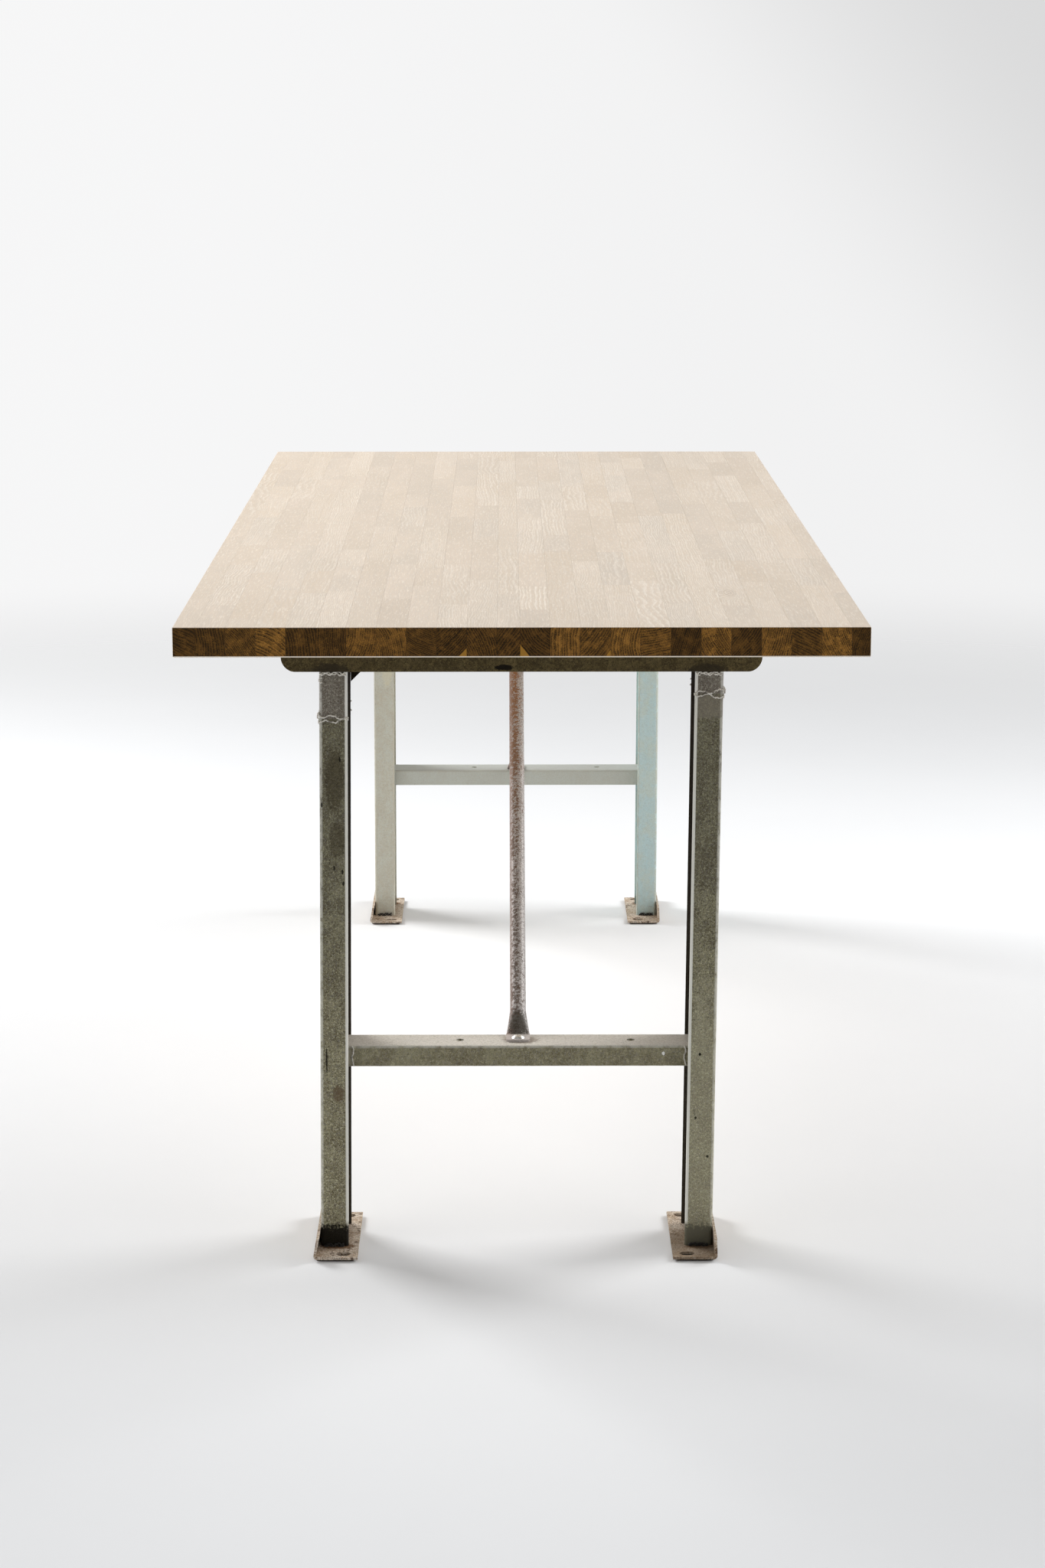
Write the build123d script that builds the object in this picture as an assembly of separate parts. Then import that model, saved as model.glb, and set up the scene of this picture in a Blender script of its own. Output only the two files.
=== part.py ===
# Butcher block table: a laminated hardwood top on two welded steel end frames.
# Millimetres. +Z is up, +Y runs along the table from the front end to the rear end.
# The origin is on the floor, under the middle of the top.
# "front" is the end at -Y, "left" is the side at -X.
import os
from math import atan2, degrees, hypot

from build123d import *

os.makedirs("parts", exist_ok=True)

# ---- driving dimensions ----------------------------------------------------

top_width = 914.4
top_length = 2133.6
top_thickness = 40.0
table_height = 880.0
eased_edge = 1.2

# The top: rows of short blocks glued side by side and end to end.
row_width = 39.5
left_row_width = 29.5
middle_row_width = 30.4
rows_left_of_middle = 10
rows_right_of_middle = 11
glue_line = 0.1
shortest_end_block = 95.0
block_lengths = (182.0, 460.0, 275.0, 390.0, 215.0, 340.0, 430.0, 250.0)
# Distance of each row's first butt joint from the front end, left row first.
first_joints = (
    255.0, 191.0, 72.0, 333.0, 303.0, 320.0, 357.0, 250.0,
    370.0, 198.0, 430.0, 290.0, 150.0, 477.0, 347.0, 378.0,
    420.0, 210.0, 505.0, 185.0, 410.0, 170.0, 373.0, 300.0,
)

# The end frames.
frame_inset = 119.0
frame_width = 539.0
front_frame_rack = -7.0
rear_frame_rack = -2.0

leg_depth = 98.0
leg_flange = 38.0
leg_wall = 4.5
leg_bend = 5.5
leg_toe = 3.6
leg_top_gap = 2.0

top_channel_length = 640.0
top_channel_height = 30.5
top_channel_wall = 5.0
top_channel_fit = 0.2
top_channel_corner = 20.0
top_channel_edge = 1.6

crossbar_top = 287.0
crossbar_depth = 60.0
crossbar_height = 29.0
crossbar_wall = 4.0
crossbar_bend = 4.5
crossbar_end_gap = 0.3
crossbar_hole = 11.0
crossbar_hole_offsets = (-80.0, 155.0)

# Leg extensions, welded on above these heights on the front frame.
left_splice_height = 745.0
right_splice_height = 779.0

# Foot plates and the pads under them.
pad_thickness = 3.0
pad_inset = 4.5
plate_wall = 3.5
plate_width = 61.0
plate_length = 192.0
plate_rim_height = 30.0
plate_bend = 5.0
left_plate_overhang = 9.0
right_plate_overhang = 5.0
plate_slot_length = 20.5
plate_slot_width = 13.7
slot_from_inner_edge = 20.0
slot_from_end = 15.0
pad_slot_growth = 3.0

gusset_size = 30.0
gusset_lap = 9.0

# Braces: round tubes with flattened ends.
brace_diameter = 22.0
brace_wall = 1.5
brace_flat_width = 32.6
brace_flat_thickness = 3.4
brace_flare = 46.0
brace_foot_ahead = 12.0
brace_tab_length = 30.0
brace_head_from_middle = 34.0

# Fasteners.
bolt_diameter = 10.0
bolt_head_diameter = 18.0
bolt_head_height = 4.5
nut_across_flats = 16.0
nut_height = 8.0
washer_thickness = 2.0
foot_washer_diameter = 21.0
bolt_tail = 4.0
lag_diameter = 8.0
lag_across_flats = 13.0
lag_head_height = 5.5
lag_bite = 31.0
lag_washer_diameter = 20.0
lag_washer_thickness = 1.8
lag_hole = 9.0
pilot_clearance = 0.1
lag_positions = (-295.0, -150.0, 150.0, 295.0)

# Weld beads.
splice_bead_height = 6.0
splice_bead_reach = 1.8
fillet_weld = 5.0
foot_weld = 6.0
bead_gap = 0.1

# ---- values worked out from them -------------------------------------------

underside = table_height - top_thickness
plate_top = pad_thickness + plate_wall
row_count = rows_left_of_middle + rows_right_of_middle + 3
leg_top = underside - top_channel_wall - leg_top_gap
channel_edge_height = underside - top_channel_height
half_frame = frame_width / 2
frame_rack = {"front": front_frame_rack, "rear": rear_frame_rack}
frame_centre = {
    "front": -top_length / 2 + frame_inset,
    "rear": top_length / 2 - frame_inset,
}
side_sign = {"left": -1, "right": 1}
plate_overhang = {"left": left_plate_overhang, "right": right_plate_overhang}
splice_height = {"left": left_splice_height, "right": right_splice_height}


def save(node, solids):
    # One STEP per node; several solids in a node stay separate bodies.
    shape = solids[0] if len(solids) == 1 else Compound(children=list(solids))
    export_step(shape, f"parts/{node}.step")


def lean(end, z):
    # How far sideways the frame's centre line stands at height z. The frame
    # was welded a little out of square, so its feet stand to one side.
    return frame_rack[end] * (1 - z / underside)


def web_outside(end, side, z):
    # X of the outer face of a leg's web at height z.
    return side_sign[side] * half_frame + lean(end, z)


# ---- the top ---------------------------------------------------------------

def row_edges():
    # X of every glue line between rows, with the two long sides of the top.
    widths = [left_row_width]
    widths += [row_width] * rows_left_of_middle
    widths += [middle_row_width]
    widths += [row_width] * rows_right_of_middle
    edges = [-top_width / 2]
    for width in widths:
        edges.append(edges[-1] + width)
    edges.append(top_width / 2)
    return edges


def row_centre_near(x):
    # Screws go into the middle of a row, never into a glue line.
    edges = row_edges()
    centres = [(a + b) / 2 for a, b in zip(edges, edges[1:])]
    return min(centres, key=lambda centre: abs(centre - x))


def joint_positions(row):
    # Y of each butt joint along a row, with both ends of the top.
    start = -top_length / 2
    joints = [start, start + first_joints[row]]
    step = row * 3
    while True:
        length = block_lengths[step % len(block_lengths)]
        if joints[-1] + length > top_length / 2 - shortest_end_block:
            break
        joints.append(joints[-1] + length)
        step += 1
    joints.append(top_length / 2)
    return joints


def screw_places():
    # X, Y of every lag screw that enters the top from below.
    places = []
    for end in ("front", "rear"):
        for x in lag_positions:
            places.append((row_centre_near(x), frame_centre[end]))
        places.append((crossbar_centre(end), brace_head_place(end)))
    return places


def make_block(panel, x_range, y_range):
    # A glue line's half-width comes off every inner face of a block.
    half_glue = glue_line / 2
    x0, x1 = x_range[0] + half_glue, x_range[1] - half_glue
    y0, y1 = y_range[0] + half_glue, y_range[1] - half_glue
    if x_range[0] <= -top_width / 2:
        x0 = x_range[0]
    if x_range[1] >= top_width / 2:
        x1 = x_range[1]
    if y_range[0] <= -top_length / 2:
        y0 = y_range[0]
    if y_range[1] >= top_length / 2:
        y1 = y_range[1]
    middle_z = table_height - top_thickness / 2
    block = Pos((x0 + x1) / 2, (y0 + y1) / 2, middle_z) * Box(x1 - x0, y1 - y0, top_thickness)
    reach = lag_diameter / 2 + pilot_clearance
    for x, y in screw_places():
        if x0 - reach < x < x1 + reach and y0 - reach < y < y1 + reach:
            block -= Pos(x, y, underside) * Cylinder(reach, lag_bite * 2)
    return (block & panel).solids()[0]


def make_top():
    panel = Box(top_width, top_length, top_thickness)
    panel = Pos(0, 0, table_height - top_thickness / 2) * fillet(panel.edges(), eased_edge)
    edges = row_edges()
    for row in range(row_count):
        joints = joint_positions(row)
        x_range = (edges[row], edges[row + 1])
        blocks = [make_block(panel, x_range, y_range) for y_range in zip(joints, joints[1:])]
        save(f"top_stave_row_{row + 1:02d}", blocks)


# ---- rolled channel --------------------------------------------------------

def channel_profile(depth, flange, wall, bend, toe):
    # A C with its web on the Y axis and its flanges pointing to +X.
    outer = Pos(flange / 2, 0) * Rectangle(flange, depth)
    outer = fillet(outer.vertices().group_by(Axis.X)[0], bend)
    outer = fillet(outer.vertices().group_by(Axis.X)[-1], toe)
    mouth = Pos(wall + flange / 2, 0) * Rectangle(flange, depth - 2 * wall)
    mouth = fillet(mouth.vertices().group_by(Axis.X)[0], wall / 2)
    return outer - mouth


def leg_profile():
    return channel_profile(leg_depth, leg_flange, leg_wall, leg_bend, leg_toe)


def stand_up(sketch, end, side, z0, z1):
    # Sweeps a leg's flat outline from z0 to z1 along the leaning leg.
    if side == "right":
        sketch = mirror(sketch, about=Plane.YZ)
    shift = lean(end, z1) - lean(end, z0)
    height = z1 - z0
    outline = Pos(web_outside(end, side, z0), frame_centre[end], z0) * sketch
    solid = extrude(outline, amount=hypot(shift, height), dir=(shift, 0, height))
    return solid.solids()[0]


def make_leg(end, side):
    top = splice_height[side] if end == "front" else leg_top
    save(f"{end}_{side}_leg", [stand_up(leg_profile(), end, side, plate_top, top)])


def make_leg_extension(side):
    piece = stand_up(leg_profile(), "front", side, splice_height[side], leg_top)
    save(f"front_{side}_leg_extension", [piece])


def lying_channel(length, depth, height, wall, bend, toe):
    # A channel lying along X with its web up and its flanges down. Its web's
    # upper face is at z = 0 and its middle is at the origin.
    profile = channel_profile(depth, height, wall, bend, toe)
    section = Plane.YZ * (Rot(0, 0, -90) * profile)
    return extrude(section, amount=length / 2, both=True)


def make_top_channel(end):
    depth = leg_depth + 2 * (top_channel_wall + top_channel_fit)
    channel = lying_channel(
        top_channel_length, depth, top_channel_height,
        top_channel_wall, top_channel_wall, top_channel_edge,
    )
    # The lower corners of both flanges are rounded in side view.
    side_view = Rectangle(top_channel_length, top_channel_height)
    side_view = fillet(side_view.vertices().group_by(Axis.Y)[0], top_channel_corner)
    envelope = extrude(Plane.XZ * side_view, amount=depth, both=True)
    channel &= Pos(0, 0, -top_channel_height / 2) * envelope
    for x in lag_positions:
        hole = Cylinder(lag_hole / 2, top_channel_wall * 4)
        channel -= Pos(row_centre_near(x), 0, 0) * hole
    placed = Pos(0, frame_centre[end], underside) * channel
    save(f"{end}_top_channel", placed.solids())


def crossbar_centre(end):
    return lean(end, crossbar_top)


def make_crossbar(end):
    length = frame_width - 2 * (leg_wall + crossbar_end_gap)
    bar = lying_channel(
        length, crossbar_depth, crossbar_height,
        crossbar_wall, crossbar_bend, crossbar_wall / 3,
    )
    for x in crossbar_hole_offsets + (0.0,):
        bar -= Pos(x, 0, 0) * Cylinder(crossbar_hole / 2, crossbar_wall * 4)
    placed = Pos(crossbar_centre(end), frame_centre[end], crossbar_top) * bar
    save(f"{end}_crossbar", placed.solids())


# ---- feet ------------------------------------------------------------------

def plate_range(end, side):
    # X of the inner edge and the outer edge of a foot plate.
    outer = web_outside(end, side, 0) + side_sign[side] * plate_overhang[side]
    inner = outer - side_sign[side] * plate_width
    return inner, outer


def slot_centres(end, side):
    inner, _ = plate_range(end, side)
    x = inner + side_sign[side] * slot_from_inner_edge
    reach = plate_length / 2 - slot_from_end
    return [(x, frame_centre[end] - reach), (x, frame_centre[end] + reach)]


def cut_slots(solid, end, side, length, width):
    for x, y in slot_centres(end, side):
        slot = extrude(SlotOverall(length, width), amount=plate_rim_height, both=True)
        solid -= Pos(x, y, 0) * slot
    return solid


def make_foot_plate(end, side):
    # A flat plate with its outer edge folded up and in, so that the rim leans
    # against the leg's web at its top.
    sign = side_sign[side]
    inner, outer = plate_range(end, side)
    rim_top = pad_thickness + plate_rim_height
    rim_inside = web_outside(end, side, rim_top) + sign * 0.2
    rim_run = outer - sign * plate_wall - rim_inside
    root_inside = outer - sign * plate_wall
    outline = Polyline(
        (inner, pad_thickness),
        (outer, pad_thickness),
        (outer - rim_run, rim_top),
        (rim_inside, rim_top),
        (root_inside - rim_run * plate_wall / plate_rim_height, plate_top),
        (inner, plate_top),
        close=True,
    )
    face = make_face(Plane.XZ * outline)
    plate = extrude(face, amount=plate_length / 2, both=True)
    along_y = plate.edges().filter_by(Axis.Y)
    outer_bend = along_y.group_by(Axis.Z)[0].sort_by(Axis.X)[0 if sign < 0 else -1]
    plate = fillet(outer_bend, plate_bend)
    placed = Pos(0, frame_centre[end], 0) * plate
    placed = cut_slots(placed, end, side, plate_slot_length, plate_slot_width)
    save(f"{end}_{side}_foot_plate", placed.solids())


def make_foot_pad(end, side):
    inner, outer = plate_range(end, side)
    width = plate_width - 2 * pad_inset
    length = plate_length - 2 * pad_inset
    pad = extrude(RectangleRounded(width, length, pad_inset), amount=pad_thickness)
    placed = Pos((inner + outer) / 2, frame_centre[end], 0) * pad
    slot_length = plate_slot_length + pad_slot_growth
    slot_width = plate_slot_width + pad_slot_growth
    placed = cut_slots(placed, end, side, slot_length, slot_width)
    save(f"{end}_{side}_foot_pad", placed.solids())


# ---- gusset ----------------------------------------------------------------

def make_gusset():
    # A 45 degree corner plate in line with the inner flange of the front left
    # leg. Its upper edge laps inside the top channel.
    lap_top = channel_edge_height + gusset_lap
    toe = web_outside("front", "left", lap_top) + leg_flange
    inner_face = frame_centre["front"] + leg_depth / 2 - leg_wall
    outline = Polyline(
        (toe, channel_edge_height - gusset_size),
        (toe + gusset_size, channel_edge_height),
        (toe + gusset_size, lap_top),
        (toe, lap_top),
        close=True,
    )
    face = make_face(Plane.XZ * outline)
    plate = extrude(face, amount=-leg_wall)
    save("front_left_gusset", [(Pos(0, inner_face, 0) * plate).solids()[0]])


# ---- braces ----------------------------------------------------------------

def towards_middle(end):
    return 1 if end == "front" else -1


def brace_head_place(end):
    # Y of the screw at the upper end of a brace.
    return -towards_middle(end) * brace_head_from_middle


def brace_bends(end):
    # Y, Z of the two bends, at half the thickness of the flattened ends.
    inward = towards_middle(end)
    half_flat = brace_flat_thickness / 2
    foot = (frame_centre[end] + inward * (brace_tab_length - brace_foot_ahead),
            crossbar_top + half_flat)
    head = (brace_head_place(end) - inward * (brace_tab_length - brace_foot_ahead),
            underside - half_flat)
    return foot, head


def flare(length):
    # The tube's end, squashed flat at z = 0 and round again at z = length.
    flat = Ellipse(brace_flat_width / 2, brace_flat_thickness / 2)
    half_way = Ellipse(brace_flat_width * 0.42, brace_diameter * 0.3)
    full = Circle(brace_diameter / 2)
    sections = [flat, Pos(0, 0, length * 0.42) * half_way, Pos(0, 0, length) * full]
    return loft(sections)


def flat_tab(hole):
    # The squashed end that the fastener goes through; its bend is at y = 0.
    tab = Pos(0, -brace_tab_length / 2, 0) * Box(
        brace_flat_width, brace_tab_length, brace_flat_thickness)
    end_edges = tab.edges().filter_by(Axis.Z).group_by(Axis.Y)[0]
    tab = fillet(end_edges, brace_flat_width / 5)
    hole_place = -(brace_tab_length - brace_foot_ahead)
    tab -= Pos(0, hole_place, 0) * Cylinder(hole / 2, brace_flat_thickness * 3)
    bend = Rot(0, 90, 0) * Cylinder(brace_flat_thickness / 2, brace_flat_width)
    return tab + bend


def make_brace(end):
    foot, head = brace_bends(end)
    run = hypot(head[0] - foot[0], head[1] - foot[1])
    rise = degrees(atan2(head[1] - foot[1], abs(head[0] - foot[0])))
    tube_run = run - 2 * brace_flare
    tube = Pos(0, 0, run / 2) * Cylinder(brace_diameter / 2, tube_run)
    tube += flare(brace_flare)
    tube += Pos(0, 0, run) * (Rot(180, 0, 0) * flare(brace_flare))
    bore_radius = brace_diameter / 2 - brace_wall
    tube -= Pos(0, 0, run / 2) * Cylinder(bore_radius, tube_run)
    # Lies the tube along the slope from the foot bend up to the head bend.
    tube = Rot(-(90 - rise), 0, 0) * tube
    brace = tube + flat_tab(crossbar_hole)
    head_tab = Rot(0, 0, 180) * flat_tab(lag_hole)
    brace += Pos(0, abs(head[0] - foot[0]), head[1] - foot[1]) * head_tab
    if end == "rear":
        brace = Rot(0, 0, 180) * brace
    x = crossbar_centre(end)
    placed = Pos(x, foot[0], foot[1]) * brace
    save(f"{end}_brace_tube", placed.solids())


# ---- fasteners -------------------------------------------------------------

def ring(outer, hole, height):
    # A washer with its lower face at z = 0.
    return extrude(Circle(outer / 2) - Circle(hole / 2), amount=height)


def hexagon(across_flats, height):
    return extrude(RegularPolygon(across_flats / 2, 6, major_radius=False), amount=height)


def make_brace_foot_fasteners():
    bolts, washers, nuts = [], [], []
    head_under = crossbar_top + brace_flat_thickness
    web_under = crossbar_top - crossbar_wall
    nut_under = web_under - washer_thickness - nut_height
    shank_length = head_under - nut_under + bolt_tail
    # A domed head: a slice of a ball over a short rim.
    head_radius = bolt_head_diameter / 2
    ball_radius = (head_radius ** 2 + bolt_head_height ** 2) / (2 * bolt_head_height)
    ball = Pos(0, 0, bolt_head_height - ball_radius) * Sphere(ball_radius)
    dome = ball & Pos(0, 0, head_radius) * Box(bolt_head_diameter * 2, bolt_head_diameter * 2,
                                               head_radius * 2)
    shank = Pos(0, 0, -shank_length / 2) * Cylinder(bolt_diameter / 2, shank_length)
    bolt = dome + shank
    for end in ("front", "rear"):
        x, y = crossbar_centre(end), frame_centre[end]
        bolts.append((Pos(x, y, head_under) * bolt).solids()[0])
        washer = ring(foot_washer_diameter, crossbar_hole, washer_thickness)
        washers.append((Pos(x, y, web_under - washer_thickness) * washer).solids()[0])
        nut = hexagon(nut_across_flats, nut_height) - Cylinder(
            bolt_diameter / 2 + pilot_clearance, nut_height * 3)
        nuts.append((Pos(x, y, nut_under) * nut).solids()[0])
    save("brace_foot_bolts", bolts)
    save("brace_foot_washers", washers)
    save("brace_foot_nuts", nuts)


def lag_screw(grip):
    # Head down, point up. z = 0 is the top's underside.
    seat = -grip
    head = Pos(0, 0, seat - lag_head_height) * hexagon(lag_across_flats, lag_head_height)
    point = lag_diameter * 0.7
    straight = lag_bite - point - 1.0
    shank = Pos(0, 0, seat) * extrude(Circle(lag_diameter / 2), amount=grip + straight)
    tip = Pos(0, 0, straight + point / 2) * Cone(lag_diameter / 2, lag_diameter / 8, point)
    return head + shank + tip


def make_lag_screws():
    screws, washers = [], []
    brace_screws, brace_washers = [], []
    washer = ring(lag_washer_diameter, lag_hole, lag_washer_thickness)
    for end in ("front", "rear"):
        for x in lag_positions:
            place = Pos(row_centre_near(x), frame_centre[end], underside)
            seat = top_channel_wall + lag_washer_thickness
            screws.append((place * lag_screw(seat)).solids()[0])
            washers.append((place * Pos(0, 0, -seat) * washer).solids()[0])
        place = Pos(crossbar_centre(end), brace_head_place(end), underside)
        seat = brace_flat_thickness + lag_washer_thickness
        brace_screws.append((place * lag_screw(seat)).solids()[0])
        brace_washers.append((place * Pos(0, 0, -seat) * washer).solids()[0])
    save("frame_lag_screws", screws)
    save("frame_lag_washers", washers)
    save("brace_head_screws", brace_screws)
    save("brace_head_washers", brace_washers)


# ---- welds -----------------------------------------------------------------

def weld_prism(size, length):
    # A fillet weld along X in the corner between the planes y = 0 and z = 0.
    corner = Polyline((0, 0), (-size, 0), (0, size), close=True)
    return extrude(make_face(Plane.YZ * corner), amount=length / 2, both=True)


def leg_flange_middle(end, side, z):
    return web_outside(end, side, z) - side_sign[side] * leg_flange / 2


def make_top_welds(end):
    # Under the edges of the top channel, across both flanges of each leg.
    beads = []
    length = leg_flange - leg_bend - leg_toe
    bead = Rot(180, 0, 0) * mirror(weld_prism(fillet_weld, length), about=Plane.XZ)
    for side in ("left", "right"):
        x = leg_flange_middle(end, side, channel_edge_height)
        for face in (-1, 1):
            turned = bead if face < 0 else Rot(0, 0, 180) * bead
            y = frame_centre[end] + face * leg_depth / 2
            beads.append((Pos(x, y, channel_edge_height) * turned).solids()[0])
    save(f"{end}_top_welds", beads)


def make_splice_welds():
    # A proud bead all round the outline of each front leg at its splice.
    beads = []
    profile = leg_profile()
    outline = offset(profile, amount=splice_bead_reach) - profile
    for side in ("left", "right"):
        z = splice_height[side] - splice_bead_height / 2
        beads.append(stand_up(outline, "front", side, z, z + splice_bead_height))
    save("front_splice_welds", beads)


def make_crossbar_welds(end):
    # Over the crossbar's web, where its ends meet the inside of each leg.
    beads = []
    length = crossbar_depth - 2 * crossbar_bend
    for side in ("left", "right"):
        sign = side_sign[side]
        bead = Rot(0, 0, 90 * sign) * weld_prism(fillet_weld, length)
        bead = Rot(0, 0, 180) * bead
        x = web_outside(end, side, crossbar_top) - sign * (leg_wall + bead_gap)
        beads.append((Pos(x, frame_centre[end], crossbar_top) * bead).solids()[0])
    save(f"{end}_crossbar_welds", beads)


def make_foot_welds(end):
    # On the foot plate, across the outside of both flanges of each leg.
    beads = []
    length = leg_flange - leg_bend - leg_toe
    for side in ("left", "right"):
        x = leg_flange_middle(end, side, plate_top)
        for face in (-1, 1):
            bead = weld_prism(foot_weld, length)
            turned = bead if face < 0 else Rot(0, 0, 180) * bead
            y = frame_centre[end] + face * leg_depth / 2
            beads.append((Pos(x, y, plate_top) * turned).solids()[0])
    save(f"{end}_foot_welds", beads)


# ---- the table -------------------------------------------------------------

make_top()
for end in ("front", "rear"):
    for side in ("left", "right"):
        make_leg(end, side)
        make_foot_plate(end, side)
        make_foot_pad(end, side)
    make_top_channel(end)
    make_crossbar(end)
    make_brace(end)
    make_top_welds(end)
    make_crossbar_welds(end)
    make_foot_welds(end)
for side in ("left", "right"):
    make_leg_extension(side)
make_gusset()
make_splice_welds()
make_brace_foot_fasteners()
make_lag_screws()
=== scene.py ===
import math
import random

import bmesh
import bpy
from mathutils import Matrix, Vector


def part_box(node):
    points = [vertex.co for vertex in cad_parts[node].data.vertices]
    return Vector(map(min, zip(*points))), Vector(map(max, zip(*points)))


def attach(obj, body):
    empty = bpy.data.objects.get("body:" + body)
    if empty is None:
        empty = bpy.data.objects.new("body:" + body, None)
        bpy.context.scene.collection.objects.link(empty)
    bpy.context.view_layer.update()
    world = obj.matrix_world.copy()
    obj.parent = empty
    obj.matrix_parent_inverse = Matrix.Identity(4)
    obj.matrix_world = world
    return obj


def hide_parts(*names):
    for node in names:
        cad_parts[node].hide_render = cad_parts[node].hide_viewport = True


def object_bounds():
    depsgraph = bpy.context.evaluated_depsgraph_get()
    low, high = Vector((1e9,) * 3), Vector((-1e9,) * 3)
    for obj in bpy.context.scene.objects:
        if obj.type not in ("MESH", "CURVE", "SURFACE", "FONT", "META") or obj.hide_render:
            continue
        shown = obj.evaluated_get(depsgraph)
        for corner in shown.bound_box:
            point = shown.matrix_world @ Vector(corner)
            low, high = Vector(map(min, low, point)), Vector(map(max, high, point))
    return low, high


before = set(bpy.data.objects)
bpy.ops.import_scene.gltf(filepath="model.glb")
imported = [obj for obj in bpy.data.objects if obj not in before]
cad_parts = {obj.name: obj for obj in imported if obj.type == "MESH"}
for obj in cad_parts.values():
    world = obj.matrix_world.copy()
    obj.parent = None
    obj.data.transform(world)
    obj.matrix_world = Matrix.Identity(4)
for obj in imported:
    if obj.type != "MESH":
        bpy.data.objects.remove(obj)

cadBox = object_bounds()
topLow = Vector((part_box("top_stave_row_01")[0].x, cadBox[0].y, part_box("top_stave_row_01")[0].z))
topHigh = Vector(cadBox[1])
mm = 0.001
close = 0.05 * mm
ends = ("front", "rear")
sides = ("left", "right")
draw = random.Random(4127)


# small node helpers, shared by every finish

def startMaterial(name):
    material = bpy.data.materials.new(name)
    material.use_nodes = True
    return material, material.node_tree, material.node_tree.nodes["Principled BSDF"]


def put(tree, kind, sockets=None, **settings):
    node = tree.nodes.new(kind)
    for name, value in settings.items():
        setattr(node, name, value)
    for key, value in (sockets or {}).items():
        if isinstance(value, bpy.types.NodeSocket):
            tree.links.new(value, node.inputs[key])
        elif isinstance(value, tuple) and node.inputs[key].type == "RGBA":
            node.inputs[key].default_value = (*value[:3], 1.0)
        else:
            node.inputs[key].default_value = value
    return node


def calc(tree, operation, first, second=0.0, third=0.0):
    return put(tree, "ShaderNodeMath", {0: first, 1: second, 2: third}, operation=operation).outputs[0]


def times(tree, first, second):
    return calc(tree, "MULTIPLY", first, second)


def plus(tree, first, second):
    return calc(tree, "ADD", first, second)


def less(tree, first, second):
    return calc(tree, "SUBTRACT", first, second)


def vectorCalc(tree, operation, first, second=(0.0, 0.0, 0.0)):
    node = put(tree, "ShaderNodeVectorMath", {0: first, 1: second}, operation=operation)
    return node.outputs["Value" if operation in ("LENGTH", "DOT_PRODUCT") else "Vector"]


def blend(tree, amount, under, over, mode="MIX"):
    sockets = {0: amount, 6: under, 7: over}
    return put(tree, "ShaderNodeMix", sockets, data_type="RGBA", blend_type=mode).outputs[2]


def between(tree, amount, under, over):
    return put(tree, "ShaderNodeMix", {0: amount, 2: under, 3: over}).outputs[0]


def fade(tree, value, start, end, low=0.0, high=1.0):
    sockets = {"Value": value, "From Min": start, "From Max": end, "To Min": low, "To Max": high}
    return put(tree, "ShaderNodeMapRange", sockets, interpolation_type="SMOOTHSTEP").outputs[0]


def mottle(tree, where, scale, detail=3.0, roughness=0.55, stretch=(1.0, 1.0, 1.0)):
    stretched = vectorCalc(tree, "MULTIPLY", where, tuple(scale * part for part in stretch))
    sockets = {"Vector": stretched, "Scale": 1.0, "Detail": detail, "Roughness": roughness}
    return put(tree, "ShaderNodeTexNoise", sockets).outputs["Fac"]


def grain(tree, where, small, large):
    # speckle of two sizes at once
    both = plus(tree, mottle(tree, where, small, 2.0, 0.8), mottle(tree, where, large, 2.0, 0.8))
    return times(tree, both, 0.5)


def split(tree, vector):
    return put(tree, "ShaderNodeSeparateXYZ", {0: vector}).outputs


def joinUp(tree, x, y, z):
    return put(tree, "ShaderNodeCombineXYZ", {0: x, 1: y, 2: z}).outputs[0]


def place(tree):
    return put(tree, "ShaderNodeTexCoord").outputs["Object"]


def facing(tree):
    return split(tree, put(tree, "ShaderNodeNewGeometry").outputs["Normal"])


def carried(tree, name):
    return put(tree, "ShaderNodeAttribute", attribute_name=name).outputs["Vector"]


def shaded(tree, colour, shade):
    # a colour darkened or lightened by one value
    return blend(tree, 1.0, colour, joinUp(tree, shade, shade, shade), "MULTIPLY")


def bump(tree, height, strength, distance):
    sockets = {"Height": height, "Strength": strength, "Distance": distance}
    return put(tree, "ShaderNodeBump", sockets).outputs[0]


def link(tree, source, shader, socket):
    tree.links.new(source, shader.inputs[socket])


def spot(tree, where, middle, reach, ragged=0.5, scale=260.0):
    # 1 inside a ragged ellipsoid, 0 outside it
    away = vectorCalc(tree, "SUBTRACT", where, tuple(middle))
    away = vectorCalc(tree, "DIVIDE", away, tuple(reach))
    away = vectorCalc(tree, "LENGTH", away)
    broken = calc(tree, "MULTIPLY_ADD", mottle(tree, where, scale), ragged * 2.0, -ragged)
    return fade(tree, plus(tree, away, broken), 1.1, 0.75)


def deselectAll():
    if bpy.context.object and bpy.context.object.mode != "OBJECT":
        bpy.ops.object.mode_set(mode="OBJECT")
    bpy.ops.object.select_all(action="DESELECT")


def solidBoxes(node):
    # the box of every separate solid in a CAD node
    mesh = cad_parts[node].data
    home = {}

    def root(key):
        while home[key] != key:
            key = home[key]
        return key

    keys = [tuple(round(c / (0.02 * mm)) for c in v.co) for v in mesh.vertices]
    for key in keys:
        home[key] = key
    for face in mesh.polygons:
        first = root(keys[face.vertices[0]])
        for index in face.vertices[1:]:
            home[root(keys[index])] = first
    groups = {}
    for key, vertex in zip(keys, mesh.vertices):
        groups.setdefault(root(key), []).append(vertex.co)
    return [(Vector([min(c[i] for c in g) for i in range(3)]),
             Vector([max(c[i] for c in g) for i in range(3)])) for g in groups.values()]


# camera

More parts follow.
